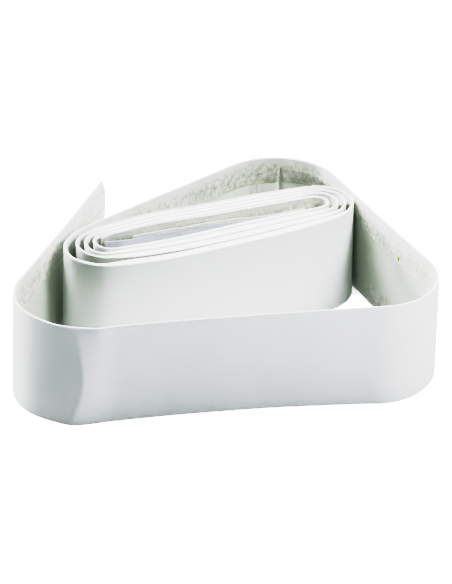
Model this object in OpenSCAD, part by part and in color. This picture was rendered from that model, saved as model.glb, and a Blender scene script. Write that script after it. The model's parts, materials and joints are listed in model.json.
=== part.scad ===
// Grip tape roll: a replacement racket grip, wound flat and standing on its long edge.
// The strip is one long sandwich: smooth skin outside, then felt, then a narrow adhesive
// tape down the middle under its release liner. Its inner turns form a flat coil, and its
// last part springs off the coil and runs once round it as a loose loop with a free tail.
// A short length of finishing tape stands in the gap at the middle of the coil.

/* [Strip] */
// Width of the strip, which is its height when it stands on edge
strip_w = 27; // [24:0.5:30]
// Thickness of the smooth outer skin
skin_t = 0.4; // [0.3:0.05:0.45]
// Thickness of the felt backing
felt_t = 0.9; // [0.6:0.05:0.95]
// Thickness of the double-sided adhesive tape
adhesive_t = 0.1; // [0.06:0.01:0.12]
// Thickness of the release liner over the adhesive
liner_t = 0.1; // [0.06:0.01:0.12]
// Width of the adhesive tape and its liner, centred on the felt
adhesive_w = 13.5; // [8:0.5:18]

/* [Coil] */
// Number of turns wound into the coil
turns = 4; // [3:1:4]
// Mean distance from one turn to the next
pitch = 2.2; // [2.1:0.05:2.25]
// How far each turn sits towards the back of the turn outside it
back_shift = 0.5; // [0.3:0.05:0.5]
// Length of the free inner end, which springs off the innermost turn
flap_run = 49.5; // [30:0.5:50]
// Direction of the free inner end
flap_heading = 26; // [25.5:0.5:26.5]

/* [Loop] */
// Direction in which the loop leaves the coil
lift_heading = 42; // [41:0.5:43]
// Straight run from the coil to the back bend
back_run = 51.5; // [50:0.5:56]
// Radius of the back bend, at the skin
back_bend_r = 17; // [15:0.5:18]
// Straight run from the back bend to the right-hand corner
side_run = 51.5; // [50:0.5:56]
// Radius of the right-hand corner, at the skin
right_corner_r = 16; // [12:0.5:18]
// Straight run across the front
front_run = 69; // [69:0.5:76]
// Radius of the left-hand corner, at the skin
left_corner_r = 18; // [14:0.5:20]
// Straight run of the free tail
tail_run = 54.5; // [30:0.5:60]

/* [Finishing tape] */
// Width of the finishing tape
tape_w = 26; // [19:0.5:26]
// Thickness of the finishing tape
tape_t = 0.15; // [0.1:0.01:0.16]
// Thickness of the release paper on the finishing tape
backing_t = 0.12; // [0.08:0.01:0.14]
// Straight length of the tape, which leads from the flap's free end to the coil's right end
tape_run = 46.5; // [30:0.5:47]
// Direction of the straight length
tape_heading = 24; // [23.5:0.5:24.5]

/* [Hidden] */
// A bend's points are this many degrees apart, but never closer than the shortest piece
bend_step = 9;
shortest_piece = 0.6;
// Angles turned at the loop's three bends
back_bend_angle = 107;
right_corner_angle = 107.5;
left_corner_angle = 117;
// Circles that the outermost turn is wrapped round, clockwise from the right end: [x, y, radius].
// The large ones give the front and the back of the coil their slight bulge.
COIL_CIRCLES = [[23, 22, 11.5], [-22, 29, 37.5], [-31, -1.5, 10], [-29.5, 2, 10], [3, -33, 57]];
// Direction across the coil, from its front to its back
coil_back = [-sin(22), cos(22)];
// The finishing tape's right-hand end
tape_start = [20, 22.05];
// The finishing tape's left-hand end, which curves away from the flap: radius and angle
tape_end_r = 26;
tape_end_angle = 18;

// Distances of each layer's faces from the outside of the strip
felt_at = skin_t;
adhesive_at = felt_at + felt_t;
liner_at = adhesive_at + adhesive_t;
strip_t = liner_at + liner_t;
adhesive_z = (strip_w - adhesive_w) / 2;
tape_z = (strip_w - tape_w) / 2;

// ---- Directions: a heading is an angle from +X, and the strip's outside is on its left ----

function along(h) = [cos(h), sin(h)];
function left_of(h) = [-sin(h), cos(h)];
function angle_down(from, to) = (from - to + 720) % 360;

// A pose is [x, y, heading]. A stretch is [length, angle turned clockwise].
function spot(pose) = [pose[0], pose[1]];
function advance(pose, length, turn) =
    let (h = pose[2], r = turn == 0 ? 0 : length / (turn * PI / 180),
         end = turn == 0 ? spot(pose) + length * along(h)
                         : spot(pose) - r * left_of(h) + r * left_of(h - turn))
    [end[0], end[1], h - turn];
function bend(r, angle) = [r * angle * PI / 180, angle];
function steps(length, angle) = max(1, ceil(min(angle / bend_step, length / shortest_piece)));
function stretch_steps(stretch) = steps(stretch[0], stretch[1]);

// All the poses at the start and the end of a list of stretches
function stops(start, stretches) =
    [for (i = 0, p = start; i <= len(stretches);
          p = i < len(stretches) ? advance(p, stretches[i][0], stretches[i][1]) : p, i = i + 1) p];

// The points along a list of stretches, after its first point
function route(start, stretches) =
    let (at = stops(start, stretches))
    [for (i = [0 : len(stretches) - 1], j = [1 : stretch_steps(stretches[i])])
        let (part = j / stretch_steps(stretches[i]))
        spot(advance(at[i], stretches[i][0] * part, stretches[i][1] * part))];
function route_count(stretches, n) =
    n == 0 ? 0 : route_count(stretches, n - 1) + stretch_steps(stretches[n - 1]);

// ---- The coil: a spiral wrapped round COIL_CIRCLES, wound clockwise and outwards ----

CIRCLES = len(COIL_CIRCLES);
last_arc = CIRCLES * turns - 2;
function circle_of(k) = COIL_CIRCLES[k % CIRCLES];
function run_heading(a, b) =
    atan2(b[1] - a[1], b[0] - a[0]) - asin((a[2] - b[2]) / norm([b[0] - a[0], b[1] - a[1]]));
function arc_start(k) = k == 0 ? flap_heading : run_heading(circle_of(k + CIRCLES - 1), circle_of(k));
function arc_end(k) = k == last_arc ? lift_heading : run_heading(circle_of(k), circle_of(k + 1));
function arc_angle(k) = angle_down(arc_start(k), arc_end(k));
arc_angles = [for (k = [0 : last_arc]) arc_angle(k)];
function turned_before(k) = k == 0 ? 0 : turned_before(k - 1) + arc_angles[k - 1];
turned = [for (k = [0 : last_arc + 1]) turned_before(k)];

// Turns still to be wound at a place on arc k, then that place's circle, which shrinks inwards
function turns_left(k, angle) = (turned[last_arc + 1] - turned[k] - angle) / 360;
function coil_centre(k, angle) = spot(circle_of(k)) + turns_left(k, angle) * back_shift * coil_back;
function coil_radius(k, angle) = circle_of(k)[2] - pitch * turns_left(k, angle);
function coil_point(k, angle) =
    coil_centre(k, angle) + coil_radius(k, angle) * left_of(arc_start(k) - angle);
function arc_steps(k) = steps(coil_radius(k, 0) * arc_angles[k] * PI / 180, arc_angles[k]);
coil_points = [for (k = [0 : last_arc], j = [0 : arc_steps(k)])
    coil_point(k, arc_angles[k] * j / arc_steps(k))];
flap_end = coil_points[0] - flap_run * along(flap_heading);

// ---- The loop: stretches from the coil to the tip of the tail ----

lift_point = coil_points[len(coil_points) - 1];
lift_pose = [lift_point[0], lift_point[1], lift_heading];
LOOP = [[back_run, 0], bend(back_bend_r, back_bend_angle), [side_run, 0],
        bend(right_corner_r, right_corner_angle / 2), bend(right_corner_r, right_corner_angle / 2),
        [front_run, 0],
        bend(left_corner_r, left_corner_angle / 2), bend(left_corner_r, left_corner_angle / 2),
        [tail_run, 0]];
loop_points = route(lift_pose, LOOP);

// The whole strip's outer face, moved so that the roll is centred on the origin
drawn = concat([flap_end], coil_points, loop_points);
function middle(values) = (min(values) + max(values)) / 2;
centre = [middle([for (p = drawn) p[0]]), middle([for (p = drawn) p[1]])];
path = [for (p = drawn) p - centre];
// Places in the path where the loop lifts off, and the middles of its two corners
lift_i = len(coil_points);
right_i = lift_i + route_count(LOOP, 4);
left_i = lift_i + route_count(LOOP, 7);
tip_i = len(path) - 1;

// ---- The finishing tape: in the gap between the flap and the innermost front run ----

tape_pose = [tape_start[0], tape_start[1], tape_heading + 180];
tape_points = concat([tape_start], route(tape_pose, [[tape_run, 0], bend(tape_end_r, tape_end_angle)]));
tape_path = [for (i = [len(tape_points) - 1 : -1 : 0]) tape_points[i] - centre];

// ---- Layers: bands between two distances from a path's left side ----

function unit(v) = v / norm(v);
function turn_left(v) = [-v[1], v[0]];
// The mitred direction to the left at each point of a path
function side(points, i) =
    let (before = unit(points[max(i, 1)] - points[max(i, 1) - 1]),
         after = unit(points[min(i, len(points) - 2) + 1] - points[min(i, len(points) - 2)]),
         mid = unit(turn_left(before) + turn_left(after)))
    mid / (mid * turn_left(before));
strip_sides = [for (i = [0 : len(path) - 1]) side(path, i)];
tape_sides = [for (i = [0 : len(tape_path) - 1]) side(tape_path, i)];

module layer(points, sides, first, last, near, thick, z, height)
    translate([0, 0, z])
        linear_extrude(height = height)
            polygon(concat([for (i = [first : last]) points[i] - near * sides[i]],
                           [for (i = [last : -1 : first]) points[i] - (near + thick) * sides[i]]));

module skin(first, last)
    color([0.93, 0.94, 0.95])
        layer(path, strip_sides, first, last, 0, skin_t, 0, strip_w);

module felt(first, last)
    color([0.87, 0.87, 0.84])
        layer(path, strip_sides, first, last, felt_at, felt_t, 0, strip_w);

module adhesive(first, last)
    color([0.93, 0.90, 0.78])
        layer(path, strip_sides, first, last, adhesive_at, adhesive_t, adhesive_z, adhesive_w);

module liner(first, last)
    color([0.84, 0.85, 0.87])
        layer(path, strip_sides, first, last, liner_at, liner_t, adhesive_z, adhesive_w);

module finishing_tape()
    color([0.82, 0.82, 0.90])
        layer(tape_path, tape_sides, 0, len(tape_path) - 1, 0, tape_t, tape_z, tape_w);

module finishing_tape_backing()
    color([0.80, 0.80, 0.86])
        layer(tape_path, tape_sides, 0, len(tape_path) - 1, tape_t, backing_t, tape_z, tape_w);

skin(0, lift_i);  // skin_coil
felt(0, lift_i);  // felt_coil
adhesive(0, lift_i);  // adhesive_coil
liner(0, lift_i);  // liner_coil
skin(lift_i, right_i);  // skin_back_band
felt(lift_i, right_i);  // felt_back_band
adhesive(lift_i, right_i);  // adhesive_back_band
liner(lift_i, right_i);  // liner_back_band
skin(right_i, left_i);  // skin_front_band
felt(right_i, left_i);  // felt_front_band
adhesive(right_i, left_i);  // adhesive_front_band
liner(right_i, left_i);  // liner_front_band
skin(left_i, tip_i);  // skin_tail
felt(left_i, tip_i);  // felt_tail
adhesive(left_i, tip_i);  // adhesive_tail
liner(left_i, tip_i);  // liner_tail
finishing_tape();
finishing_tape_backing();
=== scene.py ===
"""The looks of the grip tape roll: a strip on its edge, wound flat, with a loose loop round it.

Lengths are in millimetres in the plan that the roll is drawn in, and become metres of the row frame
in the last step, place(). A point on the strip is given by s, the distance along its skin's outer
face, d, the distance in from that face, and z, the height.
"""

import json
import math

import bpy
import numpy as np
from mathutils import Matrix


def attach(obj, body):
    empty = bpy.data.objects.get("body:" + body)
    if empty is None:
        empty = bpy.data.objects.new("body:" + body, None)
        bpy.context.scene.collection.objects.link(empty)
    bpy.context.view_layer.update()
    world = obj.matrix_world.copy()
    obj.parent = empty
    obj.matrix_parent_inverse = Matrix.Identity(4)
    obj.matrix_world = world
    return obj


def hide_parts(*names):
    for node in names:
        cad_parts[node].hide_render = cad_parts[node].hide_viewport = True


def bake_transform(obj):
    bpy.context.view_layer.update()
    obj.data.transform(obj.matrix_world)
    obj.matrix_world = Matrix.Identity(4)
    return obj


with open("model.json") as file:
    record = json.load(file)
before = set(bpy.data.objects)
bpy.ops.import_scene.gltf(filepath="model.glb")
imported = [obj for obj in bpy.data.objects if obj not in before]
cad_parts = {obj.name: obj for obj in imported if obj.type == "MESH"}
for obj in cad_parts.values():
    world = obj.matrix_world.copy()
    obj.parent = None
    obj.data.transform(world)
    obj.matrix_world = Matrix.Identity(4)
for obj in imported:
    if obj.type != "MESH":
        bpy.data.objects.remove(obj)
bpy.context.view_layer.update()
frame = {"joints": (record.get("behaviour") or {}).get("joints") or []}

MM = 0.001
CENTRE = np.array([0.798, 4.113])  # the plan point that is the row frame's origin
STRIP_W = 27.0

# ---------------------------------------------------------------- noise


CELLS = 64  # the noise repeats after so many cells


def noise(u, v, seed):
    """Smooth value noise at u, v (in cells), from -1 to 1."""
    grid = np.random.RandomState(seed).uniform(-1, 1, (CELLS, CELLS))
    iu, iv = np.floor(u).astype(int), np.floor(v).astype(int)
    fu, fv = u - iu, v - iv
    fu, fv = fu * fu * (3 - 2 * fu), fv * fv * (3 - 2 * fv)
    a = grid[iu % CELLS, iv % CELLS]
    b = grid[(iu + 1) % CELLS, iv % CELLS]
    c = grid[iu % CELLS, (iv + 1) % CELLS]
    d = grid[(iu + 1) % CELLS, (iv + 1) % CELLS]
    return (a * (1 - fu) + b * fu) * (1 - fv) + (c * (1 - fu) + d * fu) * fv


def smooth(x, low, high):
    """A smooth step from 0 at low to 1 at high."""
    t = np.clip((x - low) / (high - low), 0, 1)
    return t * t * (3 - 2 * t)


def bump(x, middle, width):
    """A smooth hump, 1 high."""
    return np.exp(-(((x - middle) / width) ** 2))


# ---------------------------------------------------------------- the strip's path in plan

# Handles of the coil, from the strip's inner end outwards
COIL = [
    # inner end, along the back of the first turn
    (-31.7, 3.9), (-30.6, 5.2), (-28.4, 6.7), (-22.6, 9.95), (-17.6, 12.5), (-11.0, 14.9),
    (-4.8, 17.1), (1.6, 19.7), (8.1, 22.2), (13.1, 24.1), (18.1, 25.8),
    # first turn: right end, front, left end, back
    (22.5, 26.7), (25.6, 25.9), (26.9, 23.5), (25.4, 20.6),
    (21.0, 18.2), (13.9, 15.1), (6.8, 12.0), (-0.1, 8.8), (-9.5, 4.4), (-19.1, 0.5),
    (-25.5, -1.4), (-29.3, -2.0), (-31.4, -1.0), (-33.0, 0.6), (-33.8, 3.0), (-32.8, 5.3),
    (-29.3, 8.0), (-23.4, 11.4), (-18.3, 14.0), (-5.5, 18.7), (7.4, 23.9), (17.5, 27.6),
    # second turn
    (22.6, 29.0), (26.0, 28.3), (28.4, 26.1), (29.3, 23.2), (28.5, 20.8), (26.4, 18.4),
    (21.0, 15.5), (13.9, 12.1), (6.8, 8.9), (0.0, 5.7), (-9.3, 1.6), (-19.0, -1.8),
    (-25.5, -3.6), (-30.1, -4.3), (-32.5, -3.6), (-34.6, -1.6), (-35.8, 1.2), (-35.6, 3.8),
    (-33.6, 6.8), (-29.5, 9.9), (-24.0, 13.0), (-18.9, 15.6), (-6.1, 20.3), (6.8, 25.4),
    (18.2, 29.4),
    # third turn
    (23.8, 30.6), (27.6, 29.7), (30.2, 27.1), (31.2, 23.6), (30.4, 20.0), (27.9, 16.9),
    (21.0, 12.8), (13.9, 9.2), (6.9, 5.7), (0.0, 2.5), (-9.3, -1.5), (-19.0, -4.8),
    (-25.0, -6.1), (-29.4, -6.4), (-31.9, -5.9), (-34.5, -4.5), (-36.4, -2.5), (-37.6, -0.5),
    (-38.0, 1.9), (-37.4, 4.5), (-35.1, 7.6), (-30.3, 11.2), (-24.6, 14.5),
    (-19.5, 17.2), (-6.7, 21.9), (6.2, 27.0), (18.5, 31.2),
    # last turn
    (24.0, 32.3), (28.3, 31.3), (31.1, 29.0), (32.7, 26.4), (33.2, 23.7), (32.9, 21.4),
    (31.9, 18.7), (29.6, 15.7), (25.5, 12.6), (16.2, 7.0), (3.5, 0.8), (-6.5, -3.9),
    (-13.9, -6.9), (-23.8, -9.7), (-28.5, -10.5), (-31.7, -10.3), (-34.8, -9.2), (-37.9, -7.1),
    (-39.9, -4.2), (-40.9, -0.5), (-40.6, 2.6), (-39.3, 5.6), (-37.9, 7.9),
]
# Where the loop leaves the coil, and which way it heads there: in degrees, and as a direction
LIFT = (-36.1, 10.0)
LIFT_HEADING = 42.3
LIFT_DIRECTION = (0.7396, 0.673)
# The loop: lengths of its runs and bends, and the clockwise turn of each in degrees
LOOP = [
    (50.8, 0), (32.1, 107.1), (51.4, 0), (30.0, 107.2),
    (68.9, 0), (31.4, 95.4), (5.8, 22.1), (54.4, 0),
]
LOOP_LENGTH = sum(length for length, turn in LOOP)
STEP = 0.5  # between the rings of the strip's meshes
PATH_STEP = 0.25  # between the points of its path


def curve_through(handles, step):
    """A natural cubic spline through the handles, as points about step apart."""
    p = np.array(handles, float)
    t = np.concatenate([[0], np.cumsum(np.hypot(*np.diff(p, axis=0).T) ** 0.5)])
    n, h = len(t), np.diff(t)
    a, b = np.zeros((n, n)), np.zeros((n, 2))
    a[0, 0] = a[-1, -1] = 1
    for i in range(1, n - 1):
        a[i, i - 1 : i + 2] = h[i - 1], 2 * (h[i - 1] + h[i]), h[i]
        b[i] = 6 * ((p[i + 1] - p[i]) / h[i] - (p[i] - p[i - 1]) / h[i - 1])
    m = np.linalg.solve(a, b)
    u = np.linspace(0, t[-1], int(40 * n))
    k = np.clip(np.searchsorted(t, u, side="right") - 1, 0, n - 2)
    x, y = (t[k + 1] - u)[:, None], (u - t[k])[:, None]
    g = h[k][:, None]
    q = (
        m[k] * x**3 / (6 * g)
        + m[k + 1] * y**3 / (6 * g)
        + (p[k] / g - m[k] * g / 6) * x
        + (p[k + 1] / g - m[k + 1] * g / 6) * y
    )
    return evenly(q, step)


def evenly(points, step):
    """The same line, as points about step apart."""
    s = np.concatenate([[0], np.cumsum(np.hypot(*np.diff(points, axis=0).T))])
    u = np.linspace(0, s[-1], max(2, int(round(s[-1] / step)) + 1))
    return np.c_[np.interp(u, s, points[:, 0]), np.interp(u, s, points[:, 1])]


def loop_points():
    """The loop's runs and bends, one after the other from the lift-off."""
    x, y, h = LIFT[0], LIFT[1], math.radians(LIFT_HEADING)
    out = []
    for length, turn in LOOP:
        n = max(1, int(round(length / PATH_STEP)))
        bend = math.radians(turn) / n
        for _ in range(n):
            middle = h - bend / 2
            x, y = x + length / n * math.cos(middle), y + length / n * math.sin(middle)
            h -= bend
            out.append((x, y))
    return np.array(out)


def relaxed(points, reach, rounds):
    """The same line with its curvature evened out over about reach points."""
    p = points.copy()
    for _ in range(rounds):
        q = p.copy()
        for i in range(1, reach + 1):
            q[reach:-reach] += p[reach - i : len(p) - reach - i] + p[reach + i : len(p) - reach + i]
        p[reach:-reach] = q[reach:-reach] / (2 * reach + 1)
    return p


def make_path():
    """The path as points, how far along it each is from the lift-off, and which way is outwards."""
    beyond = tuple(np.array(LIFT) + 1.5 * np.array(LIFT_DIRECTION))
    coil = curve_through(COIL + [LIFT, beyond], PATH_STEP)[:-6]  # stops short of LIFT
    path = relaxed(np.vstack([coil, [LIFT], loop_points()]), 3, 5)
    s = np.concatenate([[0], np.cumsum(np.hypot(*np.diff(path, axis=0).T))])
    lift = s[-1] - LOOP_LENGTH
    t = np.gradient(path, s, axis=0)
    t /= np.hypot(*t.T)[:, None]
    return s - lift, path, np.c_[-t[:, 1], t[:, 0]]


S_ALL, PATH, OUTWARD = make_path()
S_START, S_END = S_ALL[0], S_ALL[-1]


def on_path(s):
    """The path's point and its outward direction at s."""
    p = np.stack([np.interp(s, S_ALL, PATH[:, k]) for k in (0, 1)], -1)
    n = np.stack([np.interp(s, S_ALL, OUTWARD[:, k]) for k in (0, 1)], -1)
    return p, n / np.linalg.norm(n, axis=-1, keepdims=True)


# How far the strip's top edge and its lower edge stand outside its path, as (s, distance)
TOP_EDGE = [
    (0, 0), (112, 0), (132, 0.3), (146, 0.8), (155, 0.8), (162, 0.4), (170, 0.05), (185, -0.1),
    (200, -0.25), (209, -0.18), (217, -0.06), (224, 0.15), (228.5, 0.35), (234, 0.55), (238, 0.62),
    (244, 0.7), (249, 0.68), (254, 0.85), (259, 0.88), (264, 0.5), (270, 0.12), (276, 0),
    (300, 0.05), (318, 0.3), (330, 0.35),
]
LOW_EDGE = [
    (-60, 0), (-34, 0.1), (-22, 0.6), (-12, 0.9), (-5, 0.7), (2, 0.1), (10, 0), (95, 0),
    (101, -0.15), (105, -0.4), (112, -0.4), (120, 0.3), (128, 0.75), (136, 0.6), (144, 0.5),
    (150, 0.75), (157, 1.2), (161, 1.3), (165, 1.27), (170, 0.68), (175, 0.35), (179, 0.08),
    (184, -0.17), (189, -0.45), (194, -0.59), (199, -0.66), (209, -0.66), (214, -0.58),
    (219, -0.5), (224, -0.32), (227, -0.14), (231, 0.05), (233.8, 0.38), (235.8, 0.78),
    (237.5, 1.3), (240.2, 2.05), (242, 2.02), (244, 1.9), (247, 1.98), (250, 2.3), (254, 2.42),
    (257, 2.3), (262, 1.9), (266, 1.25), (270, 0.55), (276, 0), (300, 0.05), (318, 0.3),
    (330, 0.35),
]
# Where the crease beside the left corner lies, from the top edge down to the floor
FOLD_FOOT = 240.2
FOLD = [
    (0, 239.0), (0.1, 238.6), (0.3, 237.9), (0.5, 237.5),
    (0.62, 237.8), (0.75, 238.6), (0.87, 239.7), (1, FOLD_FOOT),
]


def edge_line(handles):
    """The distance at every point of the path, with the handles' corners rounded."""
    s, out = np.array(handles, float).T
    fine = np.interp(S_ALL, s, out)
    for _ in range(3):
        fine[2:-2] = (fine[:-4] + fine[1:-3] + fine[2:-2] + fine[3:-1] + fine[4:]) / 5
    return fine


TOP_LINE, LOW_LINE = edge_line(TOP_EDGE), edge_line(LOW_EDGE)


def lean(s, z):
    """How far the strip stands outside its path: it wanders, and it is creased at one place."""
    down = 1 - np.clip(z / STRIP_W, 0, 1)
    fold = np.interp(down, *np.array(FOLD).T)
    late = (FOLD_FOOT - fold) * bump(s, 238, 12)
    out = (1 - down) * np.interp(s, S_ALL, TOP_LINE) + down * np.interp(s + late, S_ALL, LOW_LINE)
    # the strip swells up to the crease, and falls back quickly beyond it
    rise = np.clip(1 + (s - fold) / 9, 0, 1) ** 1.5
    fall = np.exp(-np.clip(s - fold, 0, 40) / 1.7)
    swell = 3.2 * down * (1 - down) * np.where(s < fold, rise, fall)
    nick = 0.5 * bump(s, 233.4, 2.3) * (1 - down) ** 6
    ripple = 0.07 * noise(s / 19 + 5, z / 17 + 3, 11) * smooth(s, 2, 20)
    return out + swell + nick + ripple


def crease(s):
    """The back bend is pinched at one place, where the strip was once folded."""
    return 0.55 * bump(s, 65.1, 0.45) - 0.12 * bump(s, 63.6, 0.9) - 0.08 * bump(s, 66.7, 1.0)


def place(s, d, z):
    """Points of the row frame, in metres, from s, d and z in millimetres."""
    s, d, z = np.broadcast_arrays(np.asarray(s, float), np.asarray(d, float), np.asarray(z, float))
    p, n = on_path(s)
    pinch = crease(s) * smooth(d, 0.2, 1.2) * smooth(STRIP_W - z, 1, 4)
    p = p + n * (lean(s, z) + pinch - d)[..., None] - CENTRE
    return np.concatenate([p, z[..., None]], -1) * MM


# ---------------------------------------------------------------- the strip's section

SKIN_T = 0.4
FELT_IN = 1.30  # how deep the felt's face lies in the middle
ADHESIVE_IN = 1.40
LINER_IN = 1.50
BAND_LOW, BAND_HIGH = 6.75, 20.25  # the adhesive's and the liner's edges
THIN_EDGE, FULL_EDGE = 0.62, 2.7  # the least and the most that the strip is thick at its edges
EDGE_GAP = 0.08  # what stays free between two turns


def edge_depths():
    """How thick the strip's edges are: thin where it bends, filling the room on the coil's runs."""
    nearest = np.full(len(S_ALL), 9.0)  # how far the next turn inwards is, or 9 if there is none
    for i in np.nonzero(S_ALL < 0)[0]:
        inner = PATH[S_ALL < S_ALL[i] - 45]
        if len(inner):
            nearest[i] = np.hypot(*(inner - PATH[i]).T).min()
    room = np.where(nearest > 5, 1.45, nearest)  # no turn lies as near as 5 beside the slot
    t = np.gradient(PATH, S_ALL, axis=0)
    turning = np.abs(np.gradient(np.unwrap(np.arctan2(t[:, 1], t[:, 0])), S_ALL))
    straight = (1 - smooth(turning, 0.035, 0.1)) * (1 - smooth(S_ALL, -12, -3))
    filled = np.clip(room - EDGE_GAP, THIN_EDGE, FULL_EDGE)
    depth = THIN_EDGE + (filled - THIN_EDGE) * straight
    for _ in range(16):
        depth[4:-4] = (depth[:-8] + depth[2:-6] + depth[4:-4] + depth[6:-2] + depth[8:]) / 5
    return depth


EDGE_DEPTHS = edge_depths()


def from_edge(z):
    """How far z is from the strip's nearer edge."""
    return np.minimum(z, STRIP_W - z)


def felt_depth(s, z):
    """The felt is skived: its face slopes back to the skin towards both edges."""
    edge = from_edge(z)
    thin = np.interp(s, S_ALL, EDGE_DEPTHS)
    slope = 0.75 * np.clip(edge / 3.0, 0, 1) + 0.25 * smooth(edge, 1.2, 4.6)
    return thin + (FELT_IN - thin) * slope


def taper(s):
    """The strip starts thin at its inner end."""
    return 0.12 + 0.88 * smooth(s, S_START, S_START + 45)


def felt_rough(s, z):
    """Lumps of the felt's face, calm on the skived edges and under the liner."""
    edge = from_edge(z)
    worn = smooth(edge, 1.6, 4.0)
    above = smooth(z, BAND_HIGH - 0.3, BAND_HIGH + 0.5)
    under = smooth(z, BAND_LOW - 0.5, BAND_LOW + 0.3) * (1 - above)
    lumps = 0.06 * noise(s / 1.1, z / 1.0, 1) + 0.06 * noise(s / 0.5, z / 0.5, 2)
    return lumps * (0.12 + 0.88 * worn) * (1 - 0.9 * under)


# The liner's folds in the back bend: height, start, length and how round each is
LINER_FOLDS = [
    (0.42, 58.2, 6.6, 0.8),
    (0.35, 65.2, 8.0, 1),
    (0.22, 73.4, 7.0, 1),
    (0.20, 50.5, 6.5, 1),
]


def liner_lift(s):
    """Where the strip bends inwards its liner comes off the felt in shallow folds."""
    folds = sum(
        height * np.sin(np.pi * np.clip((s - start) / length, 0, 1)) ** power
        for height, start, length, power in LINER_FOLDS
    )
    return folds + 0.28 * (bump(s, 57.0, 0.4) + bump(s, 58.4, 0.4))


# ---------------------------------------------------------------- meshes


def new_object(name, verts, faces, material, angle=38):
    mesh = bpy.data.meshes.new(name)
    mesh.from_pydata(verts.reshape(-1, 3).tolist(), [], faces)
    mesh.validate()
    mesh.materials.append(material)
    mesh.shade_smooth()
    mesh.set_sharp_from_angle(angle=math.radians(angle))
    obj = bpy.data.objects.new(name, mesh)
    bpy.context.scene.collection.objects.link(obj)
    return obj


def tube_faces(rings, around):
    """Quads round a section of so many points, swept through rings. Its two ends are open."""
    i, j = np.meshgrid(np.arange(rings - 1), np.arange(around), indexing="ij")
    k = (j + 1) % around
    near, far = i * around, (i + 1) * around
    quads = np.stack([near + j, near + k, far + k, far + j], -1)
    return quads.reshape(-1, 4).tolist()


def sheet_faces(rings, rows):
    """Quads round a thin section of rows up its front and down its back, with a cap at each end."""
    faces = tube_faces(rings, 2 * rows)
    for ring, flip in ((0, False), (rings - 1, True)):
        base = ring * 2 * rows
        for r in range(rows - 1):
            quad = [base + r, base + 2 * rows - 1 - r, base + 2 * rows - 2 - r, base + r + 1]
            faces.append(quad[::-1] if flip else quad)
    return faces


CUT_REACH = 3.0  # how far back from its end a layer is stretched to its cut


def strip_tube(name, s0, s1, outer, inner, zs, material, end=None):
    """A layer from s0 to s1. outer and inner give its faces' depths at (s, z), and zs are its rows.

    end, if given, says how far past s1 the layer's end stands at height z.
    """
    rows = len(zs)
    count = max(2, int(round((s1 - s0) / STEP)) + 1)
    s = np.linspace(s0, s1, count)[:, None] + np.zeros((1, rows))
    z = np.asarray(zs, float)[None, :] + np.zeros((count, 1))
    if end is not None:
        s = s + end(z) * smooth(s, s1 - CUT_REACH, s1)
    front, back = place(s, outer(s, z), z), place(s, inner(s, z), z)
    verts = np.concatenate([front, back[:, ::-1]], 1)
    return new_object(name, verts, sheet_faces(count, rows), material)


# ---------------------------------------------------------------- materials


def material(name, colour, roughness, specular=0.4):
    m = bpy.data.materials.new(name)
    m.use_nodes = True
    nodes, links = m.node_tree.nodes, m.node_tree.links
    b = nodes["Principled BSDF"]
    b.inputs["Base Color"].default_value = (*colour, 1)
    b.inputs["Roughness"].default_value = roughness
    b.inputs["Specular IOR Level"].default_value = specular
    return m, nodes, links, b


def noise_node(nodes, links, coords, scale, detail, roughness=0.5):
    n = nodes.new("ShaderNodeTexNoise")
    n.inputs["Scale"].default_value = scale
    n.inputs["Detail"].default_value = detail
    n.inputs["Roughness"].default_value = roughness
    links.new(coords, n.inputs["Vector"])
    return n.outputs["Fac"]


def ramp(nodes, links, value, stops):
    r = nodes.new("ShaderNodeValToRGB")
    while len(r.color_ramp.elements) < len(stops):
        r.color_ramp.elements.new(0.5)
    for e, (at, colour) in zip(r.color_ramp.elements, stops):
        e.position = at
        e.color = (*colour, 1)
    links.new(value, r.inputs["Fac"])
    return r.outputs["Color"]


def add_bump(nodes, links, shader, height, strength, distance):
    b = nodes.new("ShaderNodeBump")
    b.inputs["Strength"].default_value = strength
    b.inputs["Distance"].default_value = distance
    links.new(height, b.inputs["Height"])
    links.new(b.outputs["Normal"], shader.inputs["Normal"])


def object_coords(nodes):
    return nodes.new("ShaderNodeTexCoord").outputs["Object"]


def skin_material():
    m, nodes, links, b = material("white_skin", (0.85, 0.855, 0.86), 0.42, 0.35)
    co = object_coords(nodes)
    fine = noise_node(nodes, links, co, 2600, 2)
    tone = noise_node(nodes, links, co, 60, 3)
    white = ramp(nodes, links, tone, [(0.3, (0.835, 0.843, 0.848)), (0.7, (0.86, 0.862, 0.867))])
    links.new(white, b.inputs["Base Color"])
    add_bump(nodes, links, b, fine, 0.05, 0.0001)
    return m


def math_node(nodes, links, operation, *values):
    n = nodes.new("ShaderNodeMath")
    n.operation = operation
    for socket, value in zip(n.inputs, values):
        if isinstance(value, (int, float)):
            socket.default_value = value
        else:
            links.new(value, socket)
    return n.outputs[0]


def smooth_node(nodes, links, value, low, high, start, end):
    """A number that goes smoothly from start to end as value goes from low to high."""
    m = nodes.new("ShaderNodeMapRange")
    m.interpolation_type = "SMOOTHSTEP"
    m.inputs["From Min"].default_value = low
    m.inputs["From Max"].default_value = high
    m.inputs["To Min"].default_value = start
    m.inputs["To Max"].default_value = end
    links.new(value, m.inputs["Value"])
    return m.outputs["Result"]


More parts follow.
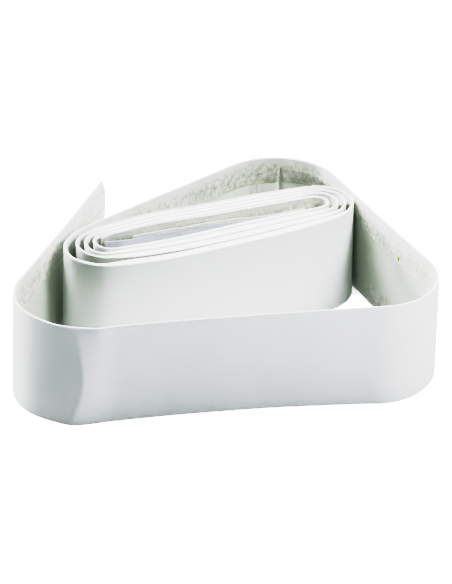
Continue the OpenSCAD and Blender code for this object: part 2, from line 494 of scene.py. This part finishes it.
def felt_material():
    """Clean white on the skived edges, and fuzzy with a ragged border beyond them."""
    m, nodes, links, b = material("felt", (0.8, 0.8, 0.77), 0.95, 0.1)
    b.inputs["Sheen Weight"].default_value = 0.1
    co = object_coords(nodes)
    split = nodes.new("ShaderNodeSeparateXYZ")
    links.new(co, split.inputs[0])
    height = split.outputs["Z"]
    from_top = math_node(nodes, links, "SUBTRACT", STRIP_W * MM, height)
    edge = math_node(nodes, links, "MINIMUM", height, from_top)
    ragged = noise_node(nodes, links, co, 420, 4, 0.7)
    ragged = math_node(nodes, links, "MULTIPLY", ragged, 0.0026)
    border = math_node(nodes, links, "ADD", edge, ragged)
    # the fuzz comes up to 0.3 mm nearer the edge round x = 18 mm
    beside = math_node(nodes, links, "SUBTRACT", split.outputs["X"], 0.018)
    beside = math_node(nodes, links, "ABSOLUTE", beside)
    worn = smooth_node(nodes, links, beside, 0.005, 0.022, 0.0003, 0.0)
    border = math_node(nodes, links, "ADD", border, worn)
    border = math_node(nodes, links, "MULTIPLY", border, 100)  # so 0.25 below is 2.5 mm
    fuzzy_part = ramp(nodes, links, border, [(0.25, (0, 0, 0)), (0.35, (1, 1, 1))])
    patch = noise_node(nodes, links, co, 850, 5, 0.75)
    tufts = ramp(nodes, links, patch, [(0.32, FELT_DARK), (0.50, FELT_MID), (0.64, FELT_LIGHT)])
    calm = noise_node(nodes, links, co, 260, 3)
    darker = tuple(0.95 * c for c in FELT_CLEAN)
    clean = ramp(nodes, links, calm, [(0.3, darker), (0.7, FELT_CLEAN)])
    mix = nodes.new("ShaderNodeMix")
    mix.data_type = "RGBA"
    links.new(fuzzy_part, mix.inputs["Factor"])
    links.new(clean, mix.inputs["A"])
    links.new(tufts, mix.inputs["B"])
    links.new(mix.outputs["Result"], b.inputs["Base Color"])
    grain = noise_node(nodes, links, co, 1500, 4, 0.7)
    add_bump(nodes, links, b, grain, 0.4, 0.0002)
    return m


def plain_material(name, colour, roughness, scale, specular=0.4):
    m, nodes, links, b = material(name, colour, roughness, specular)
    tone = noise_node(nodes, links, object_coords(nodes), scale, 3)
    darker = tuple(c * 0.95 for c in colour)
    links.new(ramp(nodes, links, tone, [(0.3, darker), (0.7, colour)]), b.inputs["Base Color"])
    return m


# The felt's tufts, from dark to light, and its clean edges
FELT_DARK, FELT_MID, FELT_LIGHT = (0.62, 0.62, 0.60), (0.73, 0.73, 0.71), (0.82, 0.82, 0.80)
FELT_CLEAN = (0.82, 0.82, 0.81)
SKIN = skin_material()
FELT = felt_material()
ADHESIVE = plain_material("adhesive", (0.83, 0.83, 0.78), 0.5, 300)
LINER = plain_material("liner_paper", (0.735, 0.745, 0.72), 0.38, 120, 0.45)
TAPE = plain_material("tape_film", (0.88, 0.88, 0.87), 0.3, 90, 0.5)
BACKING = plain_material("tape_paper", (0.81, 0.81, 0.86), 0.45, 90)
GLUE = plain_material("glue", (0.58, 0.57, 0.38), 0.3, 900)

# ---------------------------------------------------------------- the strip's layers

SEAM_BACK, SEAM_FRONT = 32.0, 198.0
# The strip's pieces: name, where each starts and ends, and the CAD bodies that it stands for
PIECES = [
    ("coil", S_START, SEAM_BACK, ["coil", "back_band"]),
    ("corner", SEAM_BACK, SEAM_FRONT, ["front_band"]),
    ("end", SEAM_FRONT, S_END, ["tail"]),
]

# Heights of the layers' rows of points
SKIN_ROWS = [0.0, 0.06, 0.2] + list(np.linspace(1.0, 26.0, 26)) + [26.8, 26.94, 27.0]
FELT_ROWS = np.concatenate(
    [np.linspace(0.12, 6.6, 19), np.linspace(7.0, 20.0, 8), np.linspace(20.4, 26.88, 21)]
)
BAND_ROWS = np.linspace(BAND_LOW, BAND_HIGH, 12)


def skin_outer(s, z):
    """The skin's outer face, with its arrises rounded off."""
    return 0.10 * np.clip(1 - from_edge(z) / 0.2, 0, 1) ** 2


def under_skin(s, z):
    """Where the skin ends and the felt begins."""
    return SKIN_T + 0 * z


def felt_inner(s, z):
    return SKIN_T + np.maximum(felt_depth(s, z) - felt_rough(s, z) * 0.9 - SKIN_T, 0.1) * taper(s)


# How far past the strip's end the tail's cut stands, as (z, distance)
TAIL_CUT = [(0, -2.6), (14, -2.4), (18, -1.5), (22, -0.25), (24.5, 0.3), (26, 0.15), (27, -0.2)]


def tail_end(z):
    """The tail's cut bulges below a pointed top corner and draws back towards the floor."""
    return np.interp(z, *np.array(TAIL_CUT).T)


def band_depth(s, depth):
    """How deep a layer on the felt lies, following the felt where the strip tapers."""
    return depth - (FELT_IN - SKIN_T) * (1 - taper(s))


def layer(stem, outer, inner, rows, mat):
    """One layer of the strip, as a mesh for each of its pieces."""
    made = []
    for name, s0, s1, _ in PIECES:
        end = tail_end if name == "end" else None
        made.append(strip_tube(f"{stem}_{name}", s0, s1, outer, inner, rows, mat, end=end))
    return made


skins = layer("grip_skin", skin_outer, under_skin, SKIN_ROWS, SKIN)
felts = layer("grip_felt", under_skin, felt_inner, FELT_ROWS, FELT)
adhesives = layer(
    "adhesive_band",
    lambda s, z: band_depth(s, FELT_IN + 0.02),
    lambda s, z: band_depth(s, ADHESIVE_IN),
    BAND_ROWS,
    ADHESIVE,
)
liners = layer(
    "release_liner",
    lambda s, z: band_depth(s, ADHESIVE_IN) + liner_lift(s),
    lambda s, z: band_depth(s, LINER_IN) + liner_lift(s),
    BAND_ROWS,
    LINER,
)

# ---------------------------------------------------------------- fuzz on the felt


FIBRE_LENGTH, FIBRE_RISE, FIBRE_CURL = (0.35, 1.1), (0.08, 0.34), (-1.2, 1.2)
FIBRE_R = 0.034
FIBRE_RINGS, FIBRE_SIDES = 4, 3


def fibres(name, s_range, z_range, count, seed):
    """Short curled fibres that stand out of the felt's face."""
    r = np.random.RandomState(seed)
    s = r.uniform(*s_range, count)
    z = r.uniform(*z_range, count)
    keep = r.uniform(size=count) < fuzzy(s, z)
    s, z = s[keep], z[keep]
    n = len(s)
    d0 = felt_inner(s, z) - 0.03
    length = r.uniform(*FIBRE_LENGTH, n)
    angle = r.uniform(0, 2 * np.pi, n)
    rise = r.uniform(*FIBRE_RISE, n)
    curl = r.uniform(*FIBRE_CURL, n)
    rings = []
    for t in np.linspace(0, 1, FIBRE_RINGS):
        a = angle + curl * t
        cs = s + np.cos(a) * length * t
        cz = np.clip(z + np.sin(a) * length * t, 0.1, STRIP_W - 0.05)
        cd = d0 + rise * np.sin(np.pi * min(t, 0.8) / 1.1)
        w = FIBRE_R * (1 - 0.6 * t)
        across = a + np.pi / 2
        for q in range(FIBRE_SIDES):
            turn = 2 * math.pi * q / FIBRE_SIDES
            ds = np.cos(across) * w * math.cos(turn)
            dz = np.sin(across) * w * math.cos(turn)
            dd = w * math.sin(turn)
            rings.append(place(cs + ds, cd + dd, cz + dz))
    verts = np.stack(rings, 1)
    one = tube_faces(FIBRE_RINGS, FIBRE_SIDES) + [[0, 2, 1], [9, 10, 11]]
    points = FIBRE_RINGS * FIBRE_SIDES
    faces = [[i * points + v for v in face] for i in range(n) for face in one]
    return new_object(name, verts, faces, FELT, angle=80)


def fuzzy(s, z):
    """Most of the fuzz stands near the liner's edge, in the coil and in the back bend."""
    beside_liner = 0.25 + 0.75 * smooth(from_edge(z), 2.0, 3.4)
    return beside_liner * (1 - 0.7 * smooth(s, 85, 105)) * (z > BAND_HIGH + 0.25)


fuzz = [
    fibres("felt_fuzz_coil", (S_START + 1, SEAM_BACK - 1), (18.5, 26.6), count=9000, seed=21),
    fibres("felt_fuzz_corner", (SEAM_BACK + 1, SEAM_FRONT - 1), (20.6, 26.6), count=4200, seed=22),
    fibres("felt_fuzz_end", (SEAM_FRONT + 1, S_END - 1), (20.8, 26.6), count=900, seed=23),
]

# ---------------------------------------------------------------- the joints' hinges, and baking the strip's meshes

# Which way in plan the strip runs through each hinge
U_LIFT = np.array([-0.37, 0.93])
U_RIGHT = np.array([-0.30, -0.95])
U_LEFT = np.array([-0.66, 0.75])


# Two distances from its hinge for each corner
RIGHT_BEND, LEFT_BEND = (-12, 10), (-19, 20)


def hinge(name):
    """Where a joint's axis stands in plan, in metres of the row frame."""
    joint = next(j for j in frame["joints"] if j["name"] == name)
    return np.array(joint["pos_m"][:2], float)


def bend(obj, a, b, at, direction, low, high):
    """Bake obj's transform into its mesh."""
    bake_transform(obj)


# How far the coil itself reaches towards the loop
coil_only = place(S_ALL[S_ALL < 2], 0, STRIP_W / 2)[:, :2]
reach = ((coil_only - hinge("lift_off_bend")) @ (U_LIFT / np.linalg.norm(U_LIFT))).max() / MM + 0.25
LIFT_BEND = (reach, reach + 7.0)

for group in (skins, felts, adhesives, liners, fuzz):
    bend(group[0], "coil", "back_band", hinge("lift_off_bend"), U_LIFT, *LIFT_BEND)
    bend(group[1], "back_band", "front_band", hinge("right_corner_bend"), U_RIGHT, *RIGHT_BEND)
    bend(group[2], "front_band", "tail", hinge("left_corner_bend"), U_LEFT, *LEFT_BEND)

# ---------------------------------------------------------------- the finishing tape

# The tape and its release paper in plan
FILM_LINE = [
    (-23.4, 5.2), (-16.6, 7.8), (-9.1, 10.5), (-6.6, 11.5), (1.0, 13.9),
    (4.8, 14.8), (10.7, 16.2), (16.6, 18.7), (20.3, 20.4),
]
PAPER_LINE = [(-30.7, 3.6), (-27.6, 4.0), (-24.2, 4.8)] + FILM_LINE[1:]
RIBBON_ROWS = 14


def ribbon(name, line, near, far, z0, z1, sag, mat):
    """A thin upright ribbon from near to far beside a line in plan, that sags at its right end."""
    p = curve_through(line, 0.5)
    t = np.gradient(p, axis=0)
    t /= np.hypot(*t.T)[:, None]
    n = np.c_[-t[:, 1], t[:, 0]]
    z = np.linspace(z0, z1, RIBBON_ROWS)
    wave = 0.08 * np.sin(p[:, 0] / 4.5)[:, None] * ((z - z0) / (z1 - z0))[None, :]
    sink = sag * smooth(p[:, 0], -8, 12)
    height = z[None, :] - sink[:, None]

    def face(depth):
        xy = p[:, None, :] + n[:, None, :] * (wave - depth)[..., None] - CENTRE
        return np.concatenate([xy, height[..., None]], -1) * MM

    verts = np.concatenate([face(near), face(far)[:, ::-1]], 1)
    return new_object(name, verts, sheet_faces(len(p), RIBBON_ROWS), mat)


tape = ribbon(
    "finishing_tape_film", FILM_LINE, near=0.0, far=0.15, z0=0.95, z1=26.95, sag=0.1, mat=TAPE
)
tape_paper = ribbon(
    "finishing_tape_paper", PAPER_LINE, near=0.2, far=0.32, z0=0.45, z1=26.2, sag=0.4, mat=BACKING
)
for piece in (tape, tape_paper):
    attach(piece, "finishing_tape")

# ---------------------------------------------------------------- a speck of glue


def blob(name, s, z, size, seed):
    """A small uneven dome on the felt's face, at the liner's edge."""
    r = np.random.RandomState(seed)
    rings, around = 5, 10
    verts = []
    for k in range(rings):
        t = k / (rings - 1)
        for q in range(around):
            a = 2 * math.pi * q / around
            w = size * math.cos(t * math.pi / 2.2) * (1 + 0.2 * r.uniform(-1, 1))
            across, up = 0.7 * w * math.cos(a), 1.5 * w * math.sin(a)
            verts.append((s + across, FELT_IN + 0.3 * t - 0.05, z + up))
    v = np.array(verts)
    faces = tube_faces(rings, around)
    faces.append(list(range(around))[::-1])
    faces.append([around * (rings - 1) + q for q in range(around)])
    return new_object(name, place(v[:, 0], v[:, 1], v[:, 2]), faces, GLUE, angle=60)


glue = blob("glue_speck", s=121.0, z=20.9, size=0.5, seed=5)
bend(glue, "back_band", "front_band", hinge("right_corner_bend"), U_RIGHT, *RIGHT_BEND)

# ---------------------------------------------------------------- hiding the CAD parts that the meshes stand for

for group, stem in ((skins, "skin"), (felts, "felt"), (adhesives, "adhesive"), (liners, "liner")):
    for obj, (_, _, _, bodies) in zip(group, PIECES):
        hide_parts(*[f"{stem}_{b}" for b in bodies])
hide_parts("finishing_tape")
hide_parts("finishing_tape_backing")

# ---------------------------------------------------------------- floor, light and camera


def nearby(nodes, links, distance, low, high, start, end):
    """A number that goes from start in tight corners of the floor to end on open floor: painted
    shade, from ambient occlusion.
    """
    ao = nodes.new("ShaderNodeAmbientOcclusion")
    ao.inputs["Distance"].default_value = distance
    ao.samples = 6
    return smooth_node(nodes, links, ao.outputs["AO"], low, high, start, end)


def make_floor(inside, outside):
    """A pale floor that glows as painted bounce light, with painted shade dimming it inside the
    loop. The camera sees it white, with painted shadow dark in gaps.
    """
    m, nodes, links, b = material("floor", (0.35, 0.35, 0.35), 0.9, 0.0)
    b.inputs["Emission Color"].default_value = (0.985, 1.0, 1.04, 1)
    # painted bounce light from the floor, dimmed by painted shade inside the loop
    painted_bounce_glow = nearby(nodes, links, 0.04, 0.25, 0.6, inside, outside)
    links.new(painted_bounce_glow, b.inputs["Emission Strength"])
    # camera rays see the floor as white emission, with painted shadow in tight gaps beside the
    # strip
    path = nodes.new("ShaderNodeLightPath")
    white = nodes.new("ShaderNodeEmission")
    links.new(nearby(nodes, links, 0.006, 0.12, 0.33, 0.35, 3.0), white.inputs["Strength"])
    mix = nodes.new("ShaderNodeMixShader")
    links.new(path.outputs["Is Camera Ray"], mix.inputs[0])
    links.new(b.outputs[0], mix.inputs[1])
    links.new(white.outputs[0], mix.inputs[2])
    links.new(mix.outputs[0], nodes["Material Output"].inputs["Surface"])
    verts = 3.0 * np.array([(-1, -1, 0), (1, -1, 0), (1, 1, 0), (-1, 1, 0)])
    floor = new_object("floor", verts, [(0, 1, 2, 3)], m)


ROLL = np.array((0, 0, 0.01))  # what every lamp faces
# Lamps: name, azimuth (counterclockwise from +X) and elevation in degrees, distance, size, power
LAMPS = [
    ("key_light", -32, 41, 0.3, (0.14, 0.12), 0.51),
    ("low_light", 140, 22, 1.0, (0.15, 0.15), 5.5),
    ("left_light", 154, 51, 1.0, (0.45, 0.4), 6.7),
    ("top_light", 180, 75, 1.0, (0.45, 0.4), 3.6),
    ("back_light", 60, 45, 1.0, (0.45, 0.4), 5.1),
]


def make_lamp(name, azimuth, elevation, distance, size, power):
    data = bpy.data.lights.new(name, "AREA")
    data.shape = "RECTANGLE"
    data.size, data.size_y = size
    data.energy = power
    a, e = math.radians(azimuth), math.radians(elevation)
    at = distance * np.array([math.cos(e) * math.cos(a), math.cos(e) * math.sin(a), math.sin(e)])
    d = (ROLL - at) / np.linalg.norm(ROLL - at)
    lamp = bpy.data.objects.new(name, data)
    lamp.location = at
    lamp.rotation_euler = (math.acos(-d[2]), 0, math.atan2(d[1], d[0]) - math.pi / 2)
    bpy.context.scene.collection.objects.link(lamp)


# The camera: focal length and picture width in pixels, its distance and its tilt
FOCAL_PX, PHOTO_PX = 2759.4, 452
CAMERA_AWAY = 0.7
CAMERA_DOWN = math.radians(30)
SENSOR = 36


def make_camera():
    data = bpy.data.cameras.new("camera")
    data.sensor_fit = "HORIZONTAL"
    data.sensor_width = SENSOR
    data.lens = SENSOR * FOCAL_PX / PHOTO_PX
    data.clip_start, data.clip_end = 0.05, 20
    cam = bpy.data.objects.new("camera", data)
    target = np.array([-CENTRE[0], -CENTRE[1], STRIP_W / 2]) * MM
    away = np.array([0, -math.cos(CAMERA_DOWN), math.sin(CAMERA_DOWN)])
    cam.location = target + CAMERA_AWAY * away
    cam.rotation_euler = (math.radians(90) - CAMERA_DOWN, 0, 0)
    bpy.context.scene.collection.objects.link(cam)
    bpy.context.scene.camera = cam


def make_world(strength):
    w = bpy.data.worlds.new("studio")
    w.use_nodes = True
    bg = w.node_tree.nodes["Background"]
    bg.inputs["Color"].default_value = (1.0, 1.0, 1.0, 1)
    bg.inputs["Strength"].default_value = strength
    bpy.context.scene.world = w


make_floor(inside=0.38, outside=0.58)
make_world(strength=0.10)
for lamp in LAMPS:
    make_lamp(*lamp)
make_camera()

# The brightness that the curves' right end stands for
WHITE = 2.0
# The tone curve: how bright a surface is, and the red, green and blue of 255 that it shows
TONES = [
    (0.184, 50, 60, 49), (0.287, 79, 90, 77), (0.43, 110, 120, 106), (0.51, 144, 150, 142),
    (0.61, 186, 190, 185), (0.66, 203, 205, 203), (0.71, 214, 215, 214), (0.79, 225, 225, 225),
    (0.94, 233, 233, 233), (1.3, 240, 240, 240), (1.75, 251, 251, 251),
]


def grade():
    """Put the tone curve on the view, one channel at a time."""
    scene = bpy.context.scene
    scene.view_settings.view_transform = "Standard"
    scene.view_settings.look = "None"
    scene.view_settings.use_curve_mapping = True
    mapping = scene.view_settings.curve_mapping
    mapping.white_level = (WHITE, WHITE, WHITE)
    for channel in range(3):
        curve = mapping.curves[channel]
        curve.points[0].location = (0, 0)
        curve.points[1].location = (1, 1)
        for row in TONES:
            shown = row[1 + channel] / 255
            linear = ((shown + 0.055) / 1.055) ** 2.4
            curve.points.new(row[0] / WHITE, linear)
    mapping.update()


grade()
